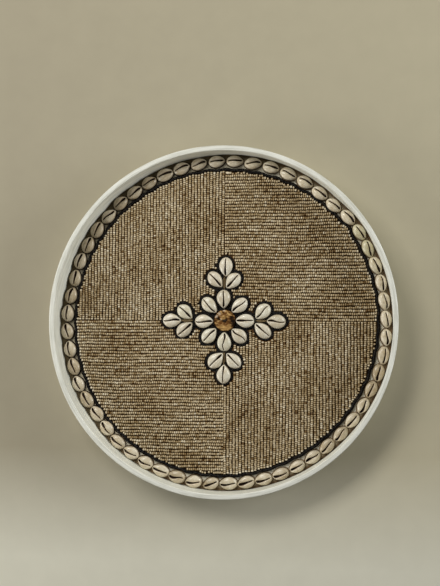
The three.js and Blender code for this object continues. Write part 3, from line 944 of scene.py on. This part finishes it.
def panel_beads(turn, long_top_row):
    """Beads and threads of one quarter, whose rows run along its own +X"""
    def on_tray(x, y):
        return on_plane(np.stack([x, np.full_like(x, y)], -1), *OFF_CENTRE, turn)

    spots, sizes, tints, threads = [], [], [], []
    places = np.arange(SEAM_GAP, FIELD_RADIUS + 4 * MM, 0.2 * MM)
    strand = BORDER_BEAD / 2 - 0.2 * MM
    reach = border_radius(turn + np.pi / 2) - strand - turned_by(turn)[1] @ OFF_CENTRE - 0.4 * MM
    reach -= SEAM_GAP
    row_count = round(reach / ROW_PITCH)
    pitch = reach / row_count
    room = SEWN_GAP + OUTLINE_BEAD + 0.3 * BEAD_DIAMETER
    rows = []
    for row in range(row_count):
        y = SEAM_GAP + (row + 0.5) * pitch
        line = on_tray(places, y)
        beyond = on_tray(places, y + 0.4 * pitch)
        limit = border_radius(np.arctan2(*line.T[::-1])) - strand
        free = (distance_to_motif(line) > room) & (norm(beyond, axis=1) < limit)
        rows += [(y, start, end) for start, end in free_runs(free, places)]
    for y, start, end in rows:
        long_beads = long_top_row and y == rows[-1][0]
        step = 1.9 * BEAD_STEP if long_beads else BEAD_STEP
        if end - start < 0.6 * step:
            continue
        count = round((end - start) / step)
        steps = rng.uniform(0.86, 1.14, count)
        steps *= (end - start) / steps.sum()
        x = start + np.cumsum(steps) - steps / 2
        stray, change, batch = row_waver(x, *(on_tray(x, y) - OFF_CENTRE).T)
        lift = CLOTH_TOP + BEAD_DIAMETER / 2 + rng.normal(0, 0.06 * MM, count)
        width = BEAD_DIAMETER * rng.uniform(0.9, 1.07, count)
        tone = bead_tints(count) + rng.normal(0, 0.02) + change + batch
        tone[[0, -1]] += rng.uniform((-0.05, 0.05), (0.1, 0.32))
        if long_beads:
            tone[:] = rng.uniform(0.9, 1.1, count)
        spots.append(np.stack([x, y + stray + rng.normal(0, 0.14 * MM, count), lift], -1))
        sizes.append(np.stack([steps * 0.9, width, width], -1))
        tints.append(tone)
        if count > 1:
            threads.append(tube(spots[-1], 0.35 * MM, 4))
    centres = np.concatenate(spots)
    centres[:, :2] = on_plane(centres[:, :2], *OFF_CENTRE, turn)
    loose = loose_beads(turn, centres)
    centres = np.concatenate([centres, loose])
    sizes.append(np.tile([0.9 * BEAD_STEP, 0.9 * BEAD_DIAMETER, 0.9 * BEAD_DIAMETER], (len(loose), 1)))
    tints.append(rng.uniform(0.65, 0.95, len(loose)))
    angles = np.full(len(centres), turn)
    beads = (centres, angles, np.concatenate(sizes), np.concatenate(tints))
    return beads, placed(stacked(threads), *OFF_CENTRE, turn)


def quarter_bed(turn):
    """The threads under one quarter's rows, from the seams to the border"""
    ways = turn + np.linspace(0, np.pi / 2, BED_SIDES // 12)
    out = towards(ways)
    reach = border_radius(ways) - BORDER_BEAD / 2
    along = out @ OFF_CENTRE
    spans = np.sqrt(along ** 2 + reach ** 2 - OFF_CENTRE @ OFF_CENTRE) - along
    outline = np.concatenate([OFF_CENTRE[None], OFF_CENTRE + spans[:, None] * out])
    side = np.arange(len(outline))
    ends = np.stack([side[::-1], side + len(side)])
    points = np.concatenate([lifted(outline, CLOTH_TOP), lifted(outline, CLOTH_TOP + BED_HEIGHT)])
    return Shape(points, [ring_quads(2, len(side))[:, ::-1], ends])


for i, corner in enumerate(("top_right", "top_left", "bottom_left", "bottom_right")):
    turn = i * math.pi / 2
    beads, threads = panel_beads(turn, long_top_row=corner == "top_right")
    node = f"bead_panel_{corner}"
    half = len(beads[0]) // 2
    for name, share in (("inner", slice(0, half)), ("outer", slice(half, None))):
        strands = strung(*(values[share] for values in beads))
        piece(f"seed_beads_{corner}_{name}", strands, gold_glass, "gold_beads", node, flat_map=True)
    bed = stacked([quarter_bed(turn), threads])
    # The row threads' dark brown is partly painted shade between the rows
    piece(f"row_threads_{corner}", bed, brown_bed_and_shade, "sewing_thread", node)


def black_beads(centres, ways, diameters):
    """Beads of a black strand, from places on the plane, ways and diameters"""
    count = len(centres)
    width = diameters * rng.uniform(0.93, 1.03, count)
    length = 0.96 * BLACK_BEAD_STEP * rng.uniform(0.93, 1.05, count)
    lift = CLOTH_TOP + diameters / 2 + rng.normal(0, 0.08 * MM, count)
    sizes = np.stack([length, width, width], -1)
    return strung(lifted(centres, lift), ways, sizes, rng.uniform(0.2, 1.2, count), 0.13)


def border_beads():
    """The strand between the rows' ends and the shells"""
    count = int(2 * np.pi * BORDER_MIDDLE / BLACK_BEAD_STEP)
    turn = full_turn(count)
    radius = border_radius(turn) + rng.normal(0, 0.15 * MM, count)
    centres = radius[:, None] * towards(turn)
    return black_beads(centres, turn + np.pi / 2, np.full(count, BORDER_BEAD))


def border_bed():
    """A flat band of thread under the border's strand"""
    turn = full_turn(BED_SIDES)
    half = 0.55 * BORDER_BEAD
    rings = []
    for out, up in ((-half, 0), (-half, BED_HEIGHT), (half, BED_HEIGHT), (half, 0)):
        rings.append(lifted(towards(turn) * (border_radius(turn) + out)[:, None], CLOTH_TOP + up))
    return Shape(np.stack(rings, 1).reshape(-1, 3), [ring_quads(BED_SIDES, 4, closed=True)])


def spaced_along(path, step):
    """Points at even steps on a closed path, and the way of the path there"""
    closed = np.concatenate([path, path[:1]])
    lengths = np.concatenate([[0], np.cumsum(norm(np.diff(closed, axis=0), axis=1))])
    count = round(lengths[-1] / step)
    places = np.arange(count) * lengths[-1] / count
    points = np.stack([np.interp(places, lengths, side) for side in closed.T], -1)
    x, y = ways_along(points).T
    return points, np.arctan2(y, x)


def between_side_shells(points):
    """Whether points lie on an arm's axis, where only thread shows"""
    across, along = np.sort(np.abs(points - OFF_CENTRE), axis=1).T
    return (across < 1.6 * MM) & (along > ARM_THREAD_START) & (along < ARM_THREAD_END)


def outline_beads():
    """Strands round the motif's shells, with beads filling what is left between them"""
    half = OUTLINE_BEAD / 2
    kept, ways, sizes = [], [], []

    def try_beads(points, angles, clear, apart, size):
        clear &= ~between_side_shells(points)
        for point, angle in zip(points[clear], angles[clear]):
            if not kept or norm(np.array(kept) - point, axis=1).min() > apart:
                kept.append(point)
                ways.append(angle)
                sizes.append(size)

    for i, outline in enumerate(motif_outlines):
        points, angles = spaced_along(moved_out(outline, SEWN_GAP + half), BLACK_BEAD_STEP)
        clear = distance_to_motif(points, i) > SEWN_GAP + 0.8 * half
        try_beads(points, angles, clear, 0.86 * BLACK_BEAD_STEP, OUTLINE_BEAD)
    fill = OFF_CENTRE + rng.uniform(-MOTIF_REACH, MOTIF_REACH, (OUTLINE_TRIES, 2))
    near = distance_to_motif(fill)
    clear = (near > SEWN_GAP + 0.45 * half) & (near < SEWN_GAP + 1.25 * half)
    try_beads(fill, rng.uniform(0, np.pi, len(fill)), clear, 0.78 * BLACK_BEAD_STEP,
              0.85 * OUTLINE_BEAD)
    return black_beads(np.array(kept), np.array(ways), np.array(sizes))


def bed_of(node, height):
    """A thin bed of threads with a node's outline"""
    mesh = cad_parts[node].data
    points = points_of(node)
    points[:, :2] += OFF_CENTRE
    points[:, 2] = np.minimum(points[:, 2], CLOTH_TOP + height)
    mesh.calc_loop_triangles()
    corners = np.empty(3 * len(mesh.loop_triangles), np.int32)
    mesh.loop_triangles.foreach_get("vertices", corners)
    return Shape(points, [corners.reshape(-1, 3)])


# Where the arms' threads show, from a petal's end to an end shell's tip
ARM_THREAD_START = tip_and_way("petal_cowrie_1")[0][0] + MOTIF_SHELL[0]
ARM_THREAD_END = tip_and_way("right_arm_end_cowrie")[0][0]

piece("border_black_beads", border_beads(), black_glass, "black_beads", "border_bead_ring", flat_map=True)
# The black thread beds are partly painted shade round the black strands
piece("border_threads", border_bed(), black_bed_and_shade, "sewing_thread", "border_bead_ring")
piece("outline_black_beads", outline_beads(), black_glass, "black_beads", "motif_outline_beads",
      flat_map=True)
piece("outline_threads", bed_of("motif_outline_beads", 1.5 * BED_HEIGHT), black_bed_and_shade, "sewing_thread",
      "motif_outline_beads")


# Arm threads, button and stitch

def arm_threads():
    """Threads between the side shells of each arm, spread in the middle"""
    share = np.linspace(0, 1, 14)
    x = ARM_THREAD_START + share * (ARM_THREAD_END - ARM_THREAD_START)
    shapes = []
    for arm in range(4):
        for strand in (-1, 0, 1):
            aside = strand * 1.1 * MM * np.sin(np.pi * share) + 0.15 * MM * np.sin(900 * x + arm + strand)
            path = lifted(np.stack([x, aside], -1), CLOTH_TOP + (2.0 - 0.4 * abs(strand)) * MM)
            shapes.append(placed(tube(path, 0.6 * MM, 8), *OFF_CENTRE, arm * math.pi / 2))
    return stacked(shapes)


piece("arm_threads", arm_threads(), tan_thread, "sewing_thread")

BUTTON_HOLE_RADIUS = 1.0 * MM
BUTTON_HOLE_PITCH = 3.6 * MM
BUTTON_TURN = math.radians(25)
BUTTON_DISH = 0.5 * MM
STITCH_RADIUS = 0.45 * MM
BUTTON_SIDES = 72


def button_piece():
    """A coconut button with eased edges, a raised rim, a dished face and two thread holes"""
    back, front = 1.6 * MM, 1.3 * MM
    face = BUTTON_TOP - BUTTON_DISH
    profile = [
        (0, CLOTH_TOP),
        *[(r * BUTTON_RADIUS, CLOTH_TOP) for r in (0.3, 0.6, 0.85)],
        *arc((BUTTON_RADIUS - back, CLOTH_TOP + back), back, -90, 0, 4),
        *arc((BUTTON_RADIUS - front, BUTTON_TOP - front), front, 0, 90, 5),
        (BUTTON_RADIUS - 2.2 * MM, BUTTON_TOP - 0.05 * MM),
        (BUTTON_RADIUS - 3.0 * MM, BUTTON_TOP - 0.3 * MM),
        (BUTTON_RADIUS - 3.8 * MM, face),
        *[(r * BUTTON_RADIUS, face) for r in (0.5, 0.3)],
        (0, face),
    ]
    disc_shape = placed(lathe(profile, BUTTON_SIDES, closed=False), *BUTTON_CENTRE, 0)
    button = piece("coconut_button_shell", disc_shape, coconut, "coconut", "coconut_button")
    for side in (-1, 1):
        place = BUTTON_CENTRE + side * BUTTON_HOLE_PITCH / 2 * towards(BUTTON_TURN)
        bpy.ops.mesh.primitive_cylinder_add(vertices=BUTTON_SIDES // 3, radius=BUTTON_HOLE_RADIUS,
                                            depth=20 * MM, location=(*place, BUTTON_TOP))
        drill = bpy.context.object
        cut = button.modifiers.new("thread_hole", "BOOLEAN")
        cut.object = drill
        cut.solver = "EXACT"
        bpy.context.view_layer.objects.active = button
        bpy.ops.object.modifier_apply(modifier=cut.name)
        bpy.data.objects.remove(drill)


def stitch_shape():
    """Two strands up through one hole, over the face and down the other"""
    half = BUTTON_HOLE_PITCH / 2
    over = BUTTON_TOP - BUTTON_DISH + STITCH_RADIUS
    turn = np.linspace(0, np.pi, 13)
    strands = []
    for side in (-1, 1):
        x = half * np.cos(turn)
        z = over + 0.35 * MM * np.sin(turn) - 1.2 * MM * np.abs(np.cos(turn)) ** 6
        path = np.stack([x, np.full_like(x, side * 0.5 * MM), z], -1)
        strands.append(tube(path, STITCH_RADIUS, 8))
    return placed(stacked(strands), *BUTTON_CENTRE, BUTTON_TURN)


button_piece()
piece("button_stitch", stitch_shape(), brown_thread, "sewing_thread", "button_thread")


# Floor, light and camera

def floor():
    """A wide pale floor, paler in front, with painted light brightening it to the right"""
    bpy.ops.mesh.primitive_plane_add(size=6, location=(0, 0, -0.2 * MM))
    plane = bpy.context.object
    plane.name = "studio_floor"
    shade = Shade("pale_floor", {"Roughness": 0.9})
    grain = shade.ramp(shade.noise(30, 2), (0.3, 0.96), (0.7, 1.0))
    x, y = (shade.add("SeparateXYZ", {"Vector": shade.place()}, axis) for axis in "XY")
    front = shade.fade(y, -150 * MM, -280 * MM)
    # Painted light: the floor grows brighter to the right
    right = shade.fade(x, -260 * MM, 260 * MM)
    tone = shade.mix(front, shade.mix(right, (160, 152, 130), (180, 172, 146)), (209, 206, 188))
    plane.data.materials.append(shade.finished(shade.mix(1.0, tone, grain, "MULTIPLY")))


SKY_STRENGTH = 0.115


def lamp(name, azimuth, height, distance, size, power, colour):
    """A soft light with a width and a height, aimed at the tray"""
    data = bpy.data.lights.new(name, "AREA")
    data.energy = power
    data.shape = "RECTANGLE"
    data.size, data.size_y = size
    data.color = colour
    made = added(name, data)
    around, up = math.radians(azimuth), math.radians(height)
    way = Vector((math.cos(around) * math.cos(up), math.sin(around) * math.cos(up), math.sin(up)))
    made.location = distance * way
    made.rotation_euler = way.to_track_quat("Z", "Y").to_euler()


def sky():
    """A faint even light from all sides"""
    world = bpy.data.worlds.new("soft_studio")
    world.use_nodes = True
    background = world.node_tree.nodes["Background"]
    background.inputs["Color"].default_value = (1.0, 0.99, 0.96, 1)
    background.inputs["Strength"].default_value = SKY_STRENGTH
    bpy.context.scene.world = world


CAMERA_YAW = math.radians(9.5)
CAMERA_PITCH = math.radians(-0.3)
CAMERA_ROLL = math.radians(0.4)
CAMERA_DISTANCE = 1.18
CAMERA_LENS = 64.3
CAMERA_AIM = Vector((1.15 * MM, 32.15 * MM, HOOP_TOP))


def camera():
    """Nearly square to the tray, a little from its right, with the tray low in the picture"""
    data = bpy.data.cameras.new("camera")
    data.lens = CAMERA_LENS
    data.sensor_width = 36
    made = added("camera", data)
    away = Vector((math.sin(CAMERA_YAW) * math.cos(CAMERA_PITCH), math.sin(CAMERA_PITCH),
                   math.cos(CAMERA_YAW) * math.cos(CAMERA_PITCH)))
    place = Vector((0, 0, HOOP_TOP)) + CAMERA_DISTANCE * away
    back = (place - CAMERA_AIM).normalized()
    right = Vector((0, 1, 0)).cross(back).normalized()
    up = back.cross(right)
    turn = Matrix((right, up, back)).transposed() @ Matrix.Rotation(CAMERA_ROLL, 3, "Z")
    made.matrix_world = Matrix.Translation(place) @ turn.to_4x4()
    bpy.context.scene.camera = made


floor()
lamp("key", azimuth=128, height=47, distance=1.7, size=(1.1, 0.5), power=19.0, colour=(1.0, 0.985, 0.95))
lamp("fill", azimuth=14, height=18, distance=2.0, size=(0.9, 0.6), power=24.7, colour=(0.97, 0.99, 1.0))
lamp("left_fill", azimuth=198, height=20, distance=2.0, size=(0.9, 0.6), power=17.0,
     colour=(1.0, 0.99, 0.97))
sky()
camera()
bpy.context.scene.view_settings.view_transform = "Standard"
